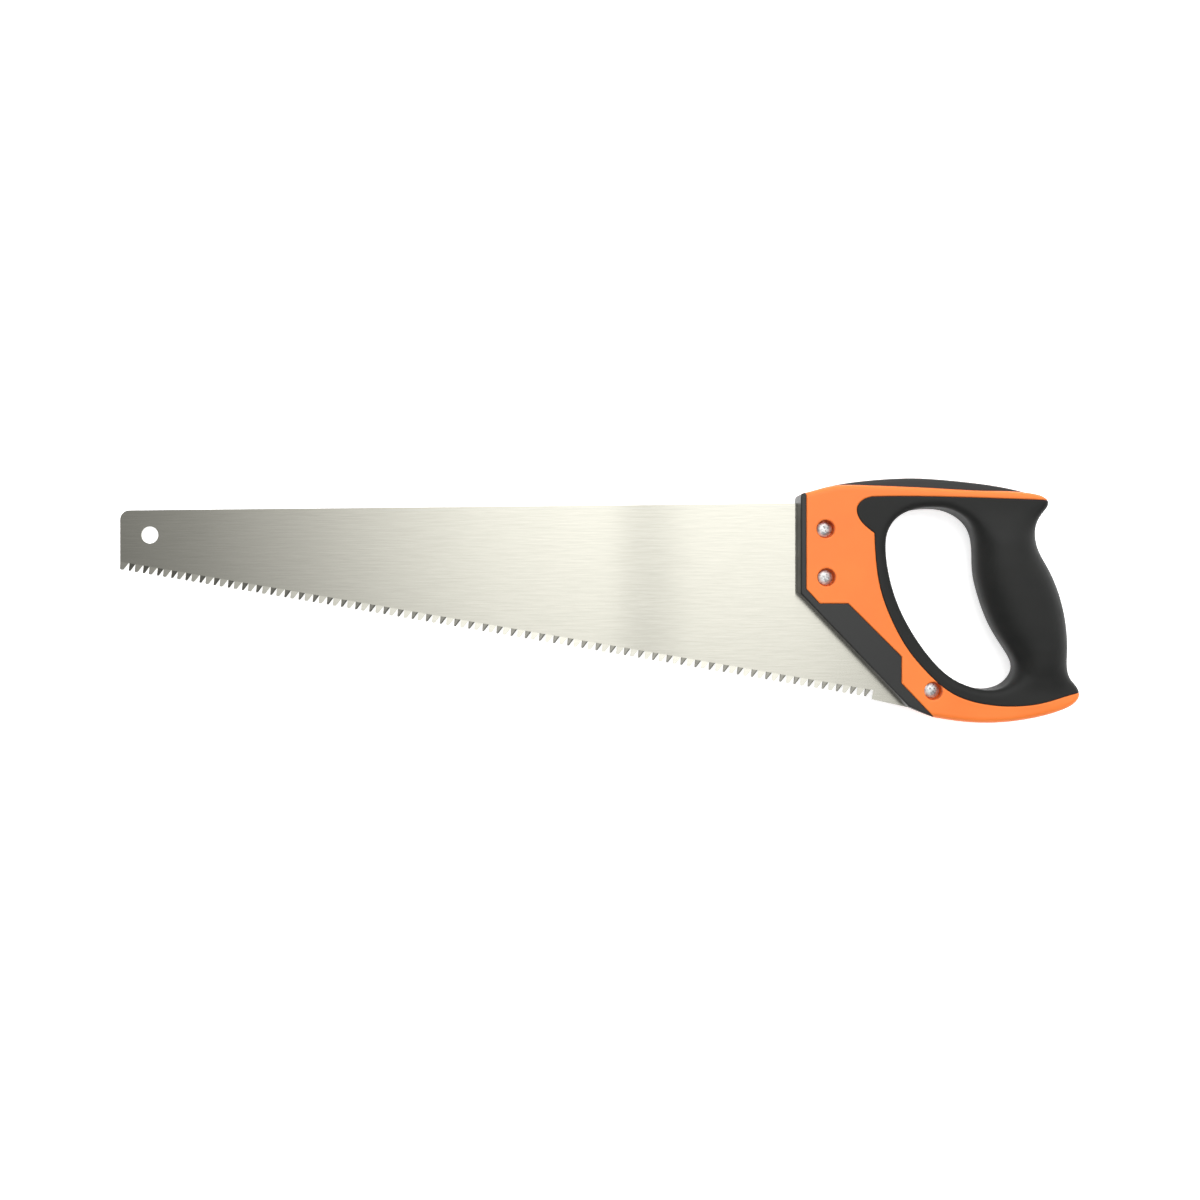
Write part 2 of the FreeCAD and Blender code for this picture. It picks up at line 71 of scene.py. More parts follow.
# Handle's outline, anticlockwise, in runs that end where two materials meet.
TOP_RUN = [(542.0, 5.3), (540.0, 7.0), (534.0, 9.1), (505.0, 10.9), (476.0, 12.4), (450.0, 13.6),
           (433.0, 14.2), (423.0, 14.3), (417.5, 13.9), (409.0, 11.9), (401.3, 9.8)]
FRONT_RUN = [(401.3, 9.8), (399.0, 9.1), (398.3, 8.4), (398.0, 7.0), (398.0, -49.0), (460.5, -114.4)]
TOE_RUN = [(460.5, -114.4), (467.8, -117.7), (475.5, -120.8)]
BOTTOM_RUN = [(475.5, -120.8), (490.5, -123.1), (505.0, -123.98), (519.5, -123.3), (538.0, -120.2),
              (550.5, -116.4), (557.5, -112.4), (560.4, -107.6), (560.5, -106.2)]
BACK_RUN = [(560.5, -106.2), (559.4, -103.2), (556.2, -98.4), (554.8, -93.0), (554.8, -82.0), (554.0, -67.0),
            (550.7, -51.0), (543.2, -33.0), (538.1, -23.5), (536.0, -15.0), (536.5, -7.7), (539.9, -1.3),
            (542.1, 2.7), (542.0, 5.3)]
OPENING = [(474.5, 1.3), (462.7, -0.4), (453.8, -5.4), (448.7, -13.8), (447.8, -22.3), (449.4, -36.5),
           (454.5, -54.3), (463.2, -71.6), (473.4, -86.0), (485.3, -97.4), (498.9, -103.6), (511.2, -104.8),
           (519.9, -101.0), (524.2, -92.6), (519.9, -82.0), (511.4, -68.2), (504.7, -51.0), (501.4, -36.4),
           (500.7, -20.0), (497.9, -9.2), (491.0, -2.4), (483.0, 0.7)]

# Seams between the materials.
SKIN_TOP = [(542.0, 5.3), (521.0, 6.0), (494.0, 6.9), (466.0, 7.5), (447.0, 7.5), (439.1, 7.3)]
SKIN_LOBE = [(439.1, 7.3), (434.4, 5.7), (430.6, 1.0), (431.9, -5.5), (436.9, -11.0), (440.6, -13.9)]
SKIN_RING = [(440.6, -13.9), (441.2, -26.0), (444.2, -46.5), (450.7, -64.5), (460.4, -81.8), (472.6, -96.1),
             (486.5, -107.2), (500.4, -112.2), (519.5, -114.3), (540.3, -111.9), (553.6, -107.9),
             (560.5, -106.2)]
GUARD_SEAM = [(401.3, 9.8), (401.3, -46.2), (409.0, -54.6), (425.5, -54.6), (456.4, -85.4), (456.4, -100.8),
              (475.5, -120.8)]

# Half the handle's thickness: flat frame, its walls between the rounded edges, and the grip by height.
# The frame swells into the grip across GRIP_FRONT, which moves by GRIP_SHIFT over the depths GRIP_SHIFTS.
# The swelling starts over the depths GRIP_TOP and ends over GRIP_FOOT.
FRAME_HALF = 11.0
WALL_HALF = 7.6
GRIP_WALL = 0.6
OUTER_ROUND = 3.2
OPENING_ROUND = 4.2
GRIP_POWER = 2.3
GRIP_FRONT = (482.0, 504.0)
GRIP_SHIFT = (24, 22)
GRIP_SHIFTS = (50, 100)
GRIP_TOP = (-7.0, 22.0)
GRIP_FOOT = (88.0, 113.0)
GRIP_HALF = [(-108.0, 10.0), (-101.0, 12.2), (-93.0, 13.6), (-82.0, 14.8), (-68.0, 15.3), (-50.0, 15.45),
             (-32.0, 15.3), (-18.0, 14.6), (-8.0, 13.2), (0.0, 11.4), (7.0, 11.0)]

SCREWS = [(412.4, -11.5), (412.9, -39.5), (474.8, -105.3)]
RECESS_RADIUS = 5.3
RECESS_SEAT = 4.5
SHANK_RADIUS = 2.2

STEP = 0.8
RINGS = [0.08, 0.25, 0.5, 0.9, 1.4, 2.0, 2.8, 3.8, 5.0]
GUARD_RINGS = [0.08, 0.2, 0.35, 0.5, 0.65, 0.8, 1.0, 1.25, 1.6, 2.1, 2.8, 3.7, 5.0]
GRID = 1.7
WELD_2D = 1e-7
SEAM_DEPTH = 0.45
SEAM_WIDTH = 0.22
SKIRT = 1.4
RECESS_RIM_DEPTH = 0.35
RECESS_RIM_WIDTH = 0.25
LIP_ROUND = 0.9

# Where the camera looks down on the drawing, its height over the blade and the width that it sees there.
CAMERA_POINT = (281.8, -52.6)
CAMERA_HEIGHT = 700.0
CAMERA_SPAN = 705.1


# ---------------------------------------------------------------- curves

def spline(points, closed=False):
    """Evenly spaced points on a cubic spline through the given points."""
    p = np.array(points + points[:1] if closed else points, float)
    h = np.hypot(*np.diff(p, axis=0).T)
    n = len(p)
    a, b = np.zeros((n, n)), np.zeros((n, 2))
    slope = np.diff(p, axis=0) / h[:, None]
    for i in range(1, n - 1):
        a[i, i - 1:i + 2] = h[i - 1], 2 * (h[i - 1] + h[i]), h[i]
        b[i] = 6 * (slope[i] - slope[i - 1])
    a[0, 0] = a[-1, -1] = 1
    if closed:
        a[0, -1] = -1
        a[-1, 0], a[-1, 1], a[-1, -2], a[-1, -1] = h[0] + h[-1], h[0], h[-1], h[0] + h[-1]
        b[-1] = 6 * (slope[0] - slope[-1])
    m = np.linalg.solve(a, b)
    fine = []
    for i in range(n - 1):
        u = np.linspace(0, h[i], 30, endpoint=False)[:, None]
        v = h[i] - u
        fine.append((m[i] * v ** 3 + m[i + 1] * u ** 3) / (6 * h[i])
                    + (p[i] / h[i] - m[i] * h[i] / 6) * v + (p[i + 1] / h[i] - m[i + 1] * h[i] / 6) * u)
    return evenly(np.vstack(fine + [p[-1:]]))


def evenly(points):
    """Evenly spaced points along a polyline, its ends kept."""
    p = np.asarray(points, float)
    along = np.concatenate([[0], np.cumsum(np.hypot(*np.diff(p, axis=0).T))])
    at = np.linspace(0, along[-1], max(2, round(along[-1] / STEP) + 1))
    return np.column_stack([np.interp(at, along, p[:, 0]), np.interp(at, along, p[:, 1])])


def straight(points):
    """Evenly spaced points along straight runs, the corners kept."""
    return chain(*[evenly([a, b]) for a, b in zip(points, points[1:])])


def chain(*runs):
    """Joins runs of points that share their ends."""
    return np.vstack([run[:-1] for run in runs[:-1]] + [runs[-1]])


def circle(x, y, radius, count=40):
    a = np.arange(count) * 2 * math.pi / count
    return np.column_stack([x + radius * np.cos(a), y + radius * np.sin(a)])


def distance(points, line):
    """Distance from each point to the nearest stretch of a polyline."""
    a, b = line[:-1], line[1:]
    ab = b - a
    length = (ab ** 2).sum(1)
    out = []
    for part in np.array_split(points, max(1, len(points) // 1500)):
        ap = part[:, None] - a[None]
        t = np.clip((ap * ab).sum(2) / length, 0, 1)
        out.append(np.sqrt(((ap - t[..., None] * ab) ** 2).sum(2).min(1)))
    return np.concatenate(out)


def inside(points, loop):
    """Which points lie inside a closed loop."""
    x, y = points.T
    result = np.zeros(len(points), bool)
    for (x0, y0), (x1, y1) in zip(loop, np.roll(loop, -1, axis=0)):
        if y0 != y1:
            crosses = (y0 > y) != (y1 > y)
            result ^= crosses & (x < (x1 - x0) * (y - y0) / (y1 - y0) + x0)
    return result


def ease(x, low, high):
    """0 below low, 1 above high, smooth between."""
    t = np.clip((x - low) / (high - low), 0, 1)
    return t * t * (3 - 2 * t)


def close(loop):
    return np.vstack([loop, loop[:1]])


# ---------------------------------------------------------------- the handle's surface

top, front, toe = spline(TOP_RUN), straight(FRONT_RUN), spline(TOE_RUN)
bottom, back = spline(BOTTOM_RUN), spline(BACK_RUN)
opening = spline(OPENING, closed=True)[:-1]
skin_seam = chain(spline(SKIN_TOP), spline(SKIN_LOBE), spline(SKIN_RING))
guard_seam = straight(GUARD_SEAM)
silhouette = chain(top, front, toe, bottom, back)
rounded_edge = chain(bottom, back, top)


def half_thickness(points):
    """Half the handle's thickness at each point, before seams: a flat frame that swells into the grip."""
    x, y = points.T
    outer, inner = distance(points, rounded_edge), distance(points, close(opening))
    low, high = [at + ease(-y, *GRIP_SHIFTS) * shift for at, shift in zip(GRIP_FRONT, GRIP_SHIFT)]
    grip = ease(x, low, high) * ease(-y, *GRIP_TOP) * (1 - ease(-y, *GRIP_FOOT))

    def quarter(u):
        return np.sqrt(1 - (1 - np.clip(u, 0, 1)) ** 2)

    rounded = np.minimum(quarter(outer / OUTER_ROUND), quarter(inner / OPENING_ROUND))
    flat = WALL_HALF + (FRAME_HALF - WALL_HALF) * rounded
    t = np.abs(2 * outer / (outer + inner + 1e-9) - 1)
    high = np.interp(y, *zip(*GRIP_HALF))
    swell = GRIP_WALL + (high - GRIP_WALL) * (1 - np.clip(t, 0, 1) ** GRIP_POWER) ** (1 / GRIP_POWER)
    return flat * (1 - grip) + swell * grip


def surface_points(loops, steps):
    """Points inside a zone: rings along its edges, close together near them, and an even grid between."""
    rings = []
    for loop in loops:
        along = np.roll(loop, -1, axis=0) - np.roll(loop, 1, axis=0)
        inward = np.column_stack([-along[:, 1], along[:, 0]]) / np.hypot(*along.T)[:, None]
        rings += [(loop + inward * d, d) for d in steps]
    low, high = loops[0].min(0), loops[0].max(0)
    rows = np.arange(low[1], high[1], GRID * 0.866)
    grid = np.array([(x, y) for i, y in enumerate(rows)
                     for x in np.arange(low[0] + (i % 2) * GRID / 2, high[0], GRID)])
    rings.append((grid, steps[-1] + GRID * 0.6))
    points = np.vstack([ring for ring, _ in rings])
    least = np.concatenate([np.full(len(ring), d) for ring, d in rings])
    gap = np.min([distance(points, close(loop)) for loop in loops], axis=0)
    kept = inside(points, loops[0]) & (gap > least * 0.985)
    for hole in loops[1:]:
        kept &= ~inside(points, hole)
    return points[kept]


def loop_edges(loops):
    """The edges of closed loops whose points are numbered one loop after the other."""
    edges, start = [], 0
    for loop in loops:
        n = len(loop)
        edges += [(start + i, start + (i + 1) % n) for i in range(n)]
        start += n
    return edges


def triangulate(loops, steps):
    """Triangles that fill a zone, with its edges kept. Loops come first in the points, in order."""
    points = np.vstack(loops + [surface_points(loops, steps)])
    made = delaunay_2d_cdt([tuple(p) for p in points], loop_edges(loops), [], 0, WELD_2D)
    verts, faces, origins = made[0], made[2], made[3]
    order = {}
    for new, old in enumerate(origins):
        for index in old:
            order[index] = new
    points = np.array([tuple(v) for v in verts])
    faces = np.array(faces)
    middle = points[faces].mean(1)
    keep = inside(middle, loops[0])
    for hole in loops[1:]:
        keep &= ~inside(middle, hole)
    rims, start = [], 0
    for loop in loops:
        rims.append([order[start + i] for i in range(len(loop))])
        start += len(loop)
    return points, faces[keep], rims


class Shell:
    """A skin made of an upper half and its mirror image, collected face by face."""

    def __init__(self):
        self.verts, self.faces = [], []

    def add(self, points):
        """Adds points and returns the number of the first."""
        start = len(self.verts)
        self.verts += [tuple(p) for p in points]
        return start

    def strip(self, rim, new):
        """A closed band of quads from a rim of point numbers to a new row of points."""
        start = self.add(new)
        n = len(rim)
        for i in range(n):
            j = (i + 1) % n
            self.faces.append((rim[j], rim[i], start + i, start + j))
        return list(range(start, start + n))

    def build(self, name):
        """The object: the collected half and its mirror image, in the frame's metres."""
        v = np.array(self.verts)
        both = np.vstack([v, v * [1, 1, -1]]) * MM + DATUM
        faces = self.faces + [tuple(i + len(v) for i in reversed(f)) for f in self.faces]
        mesh = bpy.data.meshes.new(name)
        mesh.from_pydata(both.tolist(), [], faces)
        mesh.validate()
        made = bpy.data.objects.new(name, mesh)
        bpy.context.scene.collection.objects.link(made)
        weld(made, 2e-6)
        mesh.shade_smooth()
        mesh.set_sharp_from_angle(angle=math.radians(48))
        crease_walls(mesh)
        return made


def crease_walls(mesh):
    """Marks the edges where an upright wall, which reaches the middle plane, meets a face."""
    bm = bmesh.new()
    bm.from_mesh(mesh)
    for edge in bm.edges:
        walls = [min(abs(v.co.z - DATUM[2]) for v in face.verts) < 1e-6 for face in edge.link_faces]
        if walls.count(True) == 1:
            edge.smooth = False
    bm.to_mesh(mesh)
    bm.free()


def weld(obj, reach):
    """Merges points closer than reach."""
    bm = bmesh.new()
    bm.from_mesh(obj.data)
    bmesh.ops.remove_doubles(bm, verts=bm.verts, dist=reach)
    bmesh.ops.recalc_face_normals(bm, faces=bm.faces)
    bm.to_mesh(obj.data)
    bm.free()


def edge_kind(loop, line):
    """Which stretches of a loop lie on a polyline, by their two ends and middles."""
    middle = (loop + np.roll(loop, -1, axis=0)) / 2
    return distance(middle, line) < 1e-3


def handle_shell(loops, detail=None, steps=RINGS):
    """One material's skin of the handle: faces, walls to the middle plane, and a skirt down each seam."""
    points, faces, rims = triangulate(loops, steps)
    seam = np.minimum(distance(points, skin_seam), distance(points, guard_seam))
    height = half_thickness(points) - SEAM_DEPTH * np.exp(-(seam / SEAM_WIDTH) ** 2)
    if detail is not None:
        height = detail(points, height)
    shell = Shell()
    shell.add(np.column_stack([points, height]))
    shell.faces += [tuple(int(i) for i in f) for f in faces]
    for loop, rim in zip(loops, rims):
        on_seam = edge_kind(loop, skin_seam) | edge_kind(loop, guard_seam)
        on_wall = edge_kind(loop, silhouette) | edge_kind(loop, close(opening))
        for i in range(len(loop)):
            a, b = rim[i], rim[(i + 1) % len(loop)]
            (xa, ya, za), (xb, yb, zb) = shell.verts[a], shell.verts[b]
            if on_seam[i]:
                s = shell.add([(xa, ya, za - SKIRT), (xb, yb, zb - SKIRT)])
            elif on_wall[i]:
                s = shell.add([(xa, ya, 0.0), (xb, yb, 0.0)])
            else:
                continue
            shell.faces.append((b, a, s, s + 1))
    return shell, rims


# ---------------------------------------------------------------- handle pieces

def core_shell():
    """The hard orange core's skin with its three recesses."""
    outline = chain(top, guard_seam, bottom, skin_seam[::-1])[:-1]
    loops = [outline] + [circle(x, y, RECESS_RADIUS)[::-1] for x, y in SCREWS]

    def soften(points, height):
        for x, y in SCREWS:
            rim = np.hypot(points[:, 0] - x, points[:, 1] - y) - RECESS_RADIUS
            height = height - RECESS_RIM_DEPTH * np.exp(-(rim / RECESS_RIM_WIDTH) ** 2)
        return height

    shell, rims = handle_shell(loops, soften)
    for (x, y), rim, loop in zip(SCREWS, rims[1:], loops[1:]):
        around = loop - [x, y]
        wall = [(x + dx, y + dy, FRAME_HALF - 1.0) for dx, dy in around]
        foot = [(x + dx * 0.965, y + dy * 0.965, RECESS_SEAT) for dx, dy in around]
        shank = [(x + dx * SHANK_RADIUS / RECESS_RADIUS, y + dy * SHANK_RADIUS / RECESS_RADIUS, RECESS_SEAT)
                 for dx, dy in around]
        shell.strip(shell.strip(shell.strip(rim, wall), foot), shank)
    return shell.build("core_skin")


def soft_shell():
    """The soft skin of the grip, the ring round the opening and the lobe."""
    outline = chain(skin_seam, back)[:-1]
    shell, _ = handle_shell([outline, opening[::-1]])
    return shell.build("grip_skin")


def guard_shell():
    """The soft front guard, with an upright front and a rounded edge."""
    outline = chain(front, toe, guard_seam[::-1])[:-1]
    edge = chain(front, toe)

    def lip(points, height):
        rounded = np.sqrt(1 - (1 - np.clip(distance(points, edge) / LIP_ROUND, 0, 1)) ** 2)
        return np.minimum(height, FRAME_HALF - LIP_ROUND * (1 - rounded))

    shell, _ = handle_shell([outline], lip, GUARD_RINGS)
    return shell.build("guard_skin")


# ---------------------------------------------------------------- blade

BLADE_HALF = 0.45
TOOTH_SLOPE = math.radians(9.68)
TOOTH_PITCH = 4.216
TOOTH_COUNT = 106
FIRST_TIP = 1.07
TOOTH_DEPTH = 4.5
TOOTH_FRONT = math.tan(math.radians(3.0))
TOOTH_BACK = math.tan(math.radians(27.5))
TOOTH_HALF = (0.9, 0.5)
TOOTH_ROUND = (0.45, 0.3)
TOOTH_SET = 0.3
TOOTH_THIN = 0.3
TRAILING_BEVEL = (0.85, 0.5)
LEADING_BEVEL = (0.5, 0.45)
TOE_HEIGHT = 34.6
TOE_ROUND = 5.5
BACK_SLOPE = math.radians(0.6)
HANG_RADIUS = 5.0
TANG = [(461.0, -115.3), (477.5, -118.9), (482.0, -112.0), (482.0, -103.0), (461.0, -83.0), (446.0, -60.0),
        (437.5, -28.0), (436.0, 4.566)]


def on_tooth_line(along, up):
    """A point by its distance along the line of tips and its height over it."""
    c, s = math.cos(TOOTH_SLOPE), math.sin(TOOTH_SLOPE)
    return np.array([along * c + up * s, -TOE_HEIGHT - along * s + up * c])


def tooth_corners(i):
    """A tooth's outline, from its toe-side root round the tip to the other root, and the corners' heights."""
    u, half, turn = FIRST_TIP + i * TOOTH_PITCH, TOOTH_HALF[i % 2], TOOTH_ROUND[i % 2]
    heights = [TOOTH_DEPTH, turn, 0.0, 0.0, turn, TOOTH_DEPTH]
    along = [u - half - TOOTH_DEPTH * TOOTH_FRONT, u - half - turn * TOOTH_FRONT, u - half + 0.8 * turn,
             u + half - 0.8 * turn, u + half + turn * TOOTH_BACK, u + half + TOOTH_DEPTH * TOOTH_BACK]
    corners = [on_tooth_line(a, v) for a, v in zip(along, heights)]
    if i == 0:
        corners[0][0] = corners[1][0] = 0.0
    return corners, heights


def blade_outline():
    """The sheet's outline above the teeth, anticlockwise, with each tooth's two roots on it."""
    roots = []
    for i in range(TOOTH_COUNT):
        corners, _ = tooth_corners(i)
        roots += [corners[0], corners[-1]]
    end = FIRST_TIP + TOOTH_COUNT * TOOTH_PITCH
    heel = [on_tooth_line(end, TOOTH_DEPTH), on_tooth_line(end, -1.0)] + TANG
    half_turn = math.pi / 4 - BACK_SLOPE / 2
    centre = (TOE_ROUND, -TOE_ROUND * math.tan(half_turn))
    turns = np.linspace(math.pi / 2 + BACK_SLOPE, math.pi, 12)
    corner = [(centre[0] + TOE_ROUND * math.cos(a), centre[1] + TOE_ROUND * math.sin(a)) for a in turns]
    return np.array(roots + heel + corner)


def blade():
    """The steel blade: the sheet with its hang hole, and teeth bevelled and set by turns to each side."""
    outline = blade_outline()
    hole = circle(HANG_HOLE[0], HANG_HOLE[1], HANG_RADIUS, 72)[::-1]
    loops = [outline, hole]
    made = delaunay_2d_cdt([tuple(p) for p in np.vstack(loops)], loop_edges(loops), [], 0, WELD_2D)
    verts, faces = made[0], made[2]
    flat = np.array([tuple(v) for v in verts])
    faces = np.array(faces)
    middle = flat[faces].mean(1)
    faces = faces[inside(middle, outline) & ~inside(middle, hole)]
    points, polygons, ground = [], [], []

    def put(*new, cut=0):
        start = len(points)
        points.extend(new)
        polygons.append(tuple(range(start, start + len(new))))
        ground.append(cut)

    for f in faces:
        put(*[(*flat[i], BLADE_HALF) for i in f])
        put(*[(*flat[i], -BLADE_HALF) for i in reversed(f)])
    rooted = {(2 * i, 2 * i + 1) for i in range(TOOTH_COUNT)}
    for loop in loops:
        for i in range(len(loop)):
            j = (i + 1) % len(loop)
            if loop is outline and (i, j) in rooted:
                continue
            a, b = loop[i], loop[j]
            put((*a, -BLADE_HALF), (*b, -BLADE_HALF), (*b, BLADE_HALF), (*a, BLADE_HALF), cut=1)
    for i in range(TOOTH_COUNT):
        for corners, cut in tooth_faces(i):
            put(*corners, cut=cut)
    mesh = bpy.data.meshes.new("blade_steel")
    mesh.from_pydata((np.array(points) * MM + DATUM).tolist(), [], polygons)
    for polygon, cut in zip(mesh.polygons, ground):
        polygon.material_index = cut
    layer = mesh.uv_layers.new(name="grain")
    for loop in mesh.loops:
        x, y, _ = points[loop.vertex_index]
        layer.data[loop.index].uv = (y / 100, x / 100)
    made = bpy.data.objects.new("blade_steel", mesh)
    bpy.context.scene.collection.objects.link(made)
    return made


def tooth_faces(i):
    """A tooth's faces, each with 1 where it is ground.

    Odd teeth lean away from +Z and are thinned and bevelled on that side; even teeth are the other way round.
    """
    side = 1 if i % 2 else -1
    corners, heights = tooth_corners(i)
    ahead = (corners[0] - corners[-1]) / np.linalg.norm(corners[0] - corners[-1])
    near, far = side * BLADE_HALF, -side * BLADE_HALF

    def at(p, z, height, more=0.0):
        return (p[0], p[1], z - side * (more * (1 - height / TOOTH_DEPTH)))

    def lowered(point, drop):
        return (point[0], point[1], point[2] - side * drop)

    back = [at(p, far, v, TOOTH_SET) for p, v in zip(corners, heights)]
    face = [at(p, near, v, TOOTH_SET + TOOTH_THIN) for p, v in zip(corners, heights)]
    rim = list(face)
    lead_wide, lead_deep = LEADING_BEVEL
    trail_wide, trail_deep = TRAILING_BEVEL
    rim[0] = lowered(face[0], lead_deep)
    rim[4], rim[5] = lowered(face[4], trail_deep * 0.5), lowered(face[5], trail_deep)
    face[0] = at(corners[0] - ahead * lead_wide, near, heights[0])
    face[4] = at(corners[4] + ahead * trail_wide * 0.7, near, heights[4], TOOTH_SET + TOOTH_THIN)
    face[5] = at(corners[5] + ahead * trail_wide, near, heights[5])
    faces = [(face, 0), (back[::-1], 0)]
    faces += [([face[0], rim[0], rim[1]], 1), ([rim[3], rim[4], face[4]], 1),
              ([face[4], rim[4], rim[5], face[5]], 1)]
    faces += [([at(corners[0], near, TOOTH_DEPTH), rim[0], face[0]], 1),
              ([at(corners[5], near, TOOTH_DEPTH), face[5], rim[5]], 1)]
    faces += [([rim[k], back[k], back[k + 1], rim[k + 1]], 1) for k in range(5)]
    return faces if side > 0 else [(f[::-1], cut) for f, cut in faces]


# ---------------------------------------------------------------- materials

class Nodes:
    """A material's node tree with short ways to add and link nodes."""

    def __init__(self, name):
        self.material = bpy.data.materials.new(name)
        self.material.use_nodes = True
        self.tree = self.material.node_tree
        self.tree.nodes.clear()
        self.shader = self.add("ShaderNodeBsdfPrincipled")
        output = self.add("ShaderNodeOutputMaterial")
        self.link(self.shader, "BSDF", output, "Surface")
        self.place = self.add("ShaderNodeTexCoord")

    def add(self, kind, **settings):
        node = self.tree.nodes.new(kind)
        for key, value in settings.items():
            setattr(node, key, value)
        return node

    def link(self, a, out, b, into):
        self.tree.links.new(a.outputs[out], b.inputs[into])

    def set(self, **values):
        for key, value in values.items():
            self.shader.inputs[key.replace("_", " ")].default_value = value

    def noise(self, scale, stretch=(1, 1, 1), detail=2.0, rough=0.5):
        """Noise over the object, scaled per metre and stretched per axis."""
        mapping = self.add("ShaderNodeMapping")
        mapping.inputs["Scale"].default_value = stretch
        self.link(self.place, "Object", mapping, "Vector")
        made = self.add("ShaderNodeTexNoise")
        made.inputs["Scale"].default_value = scale
        made.inputs["Detail"].default_value = detail
        made.inputs["Roughness"].default_value = rough
        self.link(mapping, "Vector", made, "Vector")
        return made

    def ramp(self, source, stops, out="Fac"):
        """Maps a factor to greys or colours at the given stops."""
        made = self.add("ShaderNodeValToRGB")
        elements = made.color_ramp.elements
        while len(elements) < len(stops):
            elements.new(0.5)
        for element, (place, colour) in zip(elements, stops):
            element.position = place
            element.color = colour if isinstance(colour, tuple) else (colour, colour, colour, 1)
        self.link(source, out, made, "Fac")
        return made

    def bump(self, source, strength, height, out="Fac", under=None):
        made = self.add("ShaderNodeBump")
        made.inputs["Strength"].default_value = strength
        made.inputs["Distance"].default_value = height
        self.link(source, out, made, "Height")
        if under is not None:
            self.link(under, "Normal", made, "Normal")
        self.link(made, "Normal", self.shader, "Normal")
        return made


def orange_plastic():
    n = Nodes("orange_plastic")
    n.set(Specular_IOR_Level=0.3)
    clouds = n.noise(35, detail=3)
    colour = n.ramp(clouds, [(0.3, (0.94, 0.215, 0.040, 1)), (0.7, (0.96, 0.240, 0.048, 1))])
    n.link(colour, "Color", n.shader, "Base Color")
    grain = n.noise(2600, detail=2)
    rough = n.ramp(clouds, [(0.3, 0.34), (0.7, 0.44)])
    n.link(rough, "Color", n.shader, "Roughness")
    n.bump(grain, 0.25, 0.00006)
    return n.material


def black_rubber(name, shine, least_rough, most_rough, grain_depth):
    """Soft black plastic with a fine matt grain, as coarse and shiny as the piece's mould left it."""
    n = Nodes(name)
    n.set(Specular_IOR_Level=shine)
    clouds = n.noise(60, detail=4)
    colour = n.ramp(clouds, [(0.3, (0.011, 0.0115, 0.011, 1)), (0.75, (0.016, 0.0165, 0.0155, 1))])
    n.link(colour, "Color", n.shader, "Base Color")
    rough = n.ramp(clouds, [(0.3, least_rough), (0.75, most_rough)])
    n.link(rough, "Color", n.shader, "Roughness")
    grain = n.noise(3200, detail=3, rough=0.6)
    n.bump(grain, 0.35, grain_depth)
    return n.material


def brushed_steel():
    n = Nodes("brushed_steel")
    n.set(Metallic=1.0, Anisotropic=1.0)
    fine = n.noise(700, (0.07, 1.6, 1), detail=4, rough=0.75)
    colour = n.ramp(fine, [(0.3, (0.400, 0.393, 0.345, 1)), (0.7, (0.472, 0.463, 0.409, 1))])
    n.link(colour, "Color", n.shader, "Base Color")
    rough = n.ramp(fine, [(0.2, 0.12), (0.8, 0.18)])
    n.link(rough, "Color", n.shader, "Roughness")
    tangent = n.add("ShaderNodeTangent", direction_type="UV_MAP", uv_map="grain")
    n.link(tangent, "Tangent", n.shader, "Tangent")
    n.bump(fine, 0.15, 0.00002)
    return n.material


def ground_steel():
    n = Nodes("ground_steel")
    n.set(Metallic=1.0)
    marks = n.noise(1500, (0.3, 1, 1), detail=3)
    colour = n.ramp(marks, [(0.3, (0.44, 0.44, 0.42, 1)), (0.7, (0.55, 0.55, 0.53, 1))])
    n.link(colour, "Color", n.shader, "Base Color")
    rough = n.ramp(marks, [(0.3, 0.22), (0.7, 0.34)])
    n.link(rough, "Color", n.shader, "Roughness")
    n.bump(marks, 0.2, 0.00003)
    return n.material


def zinc():
    n = Nodes("zinc_plate")
    n.set(Metallic=1.0)
    spots = n.noise(700, detail=4)
    colour = n.ramp(spots, [(0.36, (0.36, 0.36, 0.37, 1)), (0.58, (0.78, 0.78, 0.77, 1))])
    n.link(colour, "Color", n.shader, "Base Color")
    rough = n.ramp(spots, [(0.3, 0.28), (0.7, 0.42)])
    n.link(rough, "Color", n.shader, "Roughness")
    n.bump(spots, 0.2, 0.00004)
    return n.material


def dress(obj, *materials):
    """Gives an object its materials. With one, every face takes it; with more, faces keep their numbers."""
    obj.data.materials.clear()
    for material in materials:
        obj.data.materials.append(material)
    if len(materials) == 1:
        for polygon in obj.data.polygons:
            polygon.material_index = 0


# ---------------------------------------------------------------- stage

# In metres: from the heel end to the grip's lowest point, the floor's reach, and the gap over it.
GRIP_CONTACT = 0.03
FLOOR_REACH = 40.0
FLOOR_GAP = 0.0004


def floor():
    """A white tabletop, tilted a little, as the saw lies on its grip and on its toe."""
    low, _ = cad_box
    contact_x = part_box("grip_overmould")[1][0] - GRIP_CONTACT
    toe_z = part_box("blade")[0][2]
    slope = toe_z / (low[0] - contact_x)
    mesh = bpy.data.meshes.new("floor")
    corners = [(-FLOOR_REACH, -FLOOR_REACH), (FLOOR_REACH, -FLOOR_REACH), (FLOOR_REACH, FLOOR_REACH),
               (-FLOOR_REACH, FLOOR_REACH)]
    mesh.from_pydata([(x, y, (x - contact_x) * slope - FLOOR_GAP) for x, y in corners], [], [(0, 1, 2, 3)])
    made = bpy.data.objects.new("floor", mesh)
    bpy.context.scene.collection.objects.link(made)
    n = Nodes("white_table")
    n.set(Base_Color=(0.93, 0.93, 0.93, 1), Roughness=0.7, Specular_IOR_Level=0.2,
          Emission_Color=(1, 1, 1, 1), Emission_Strength=0.7)
    mesh.materials.append(n.material)


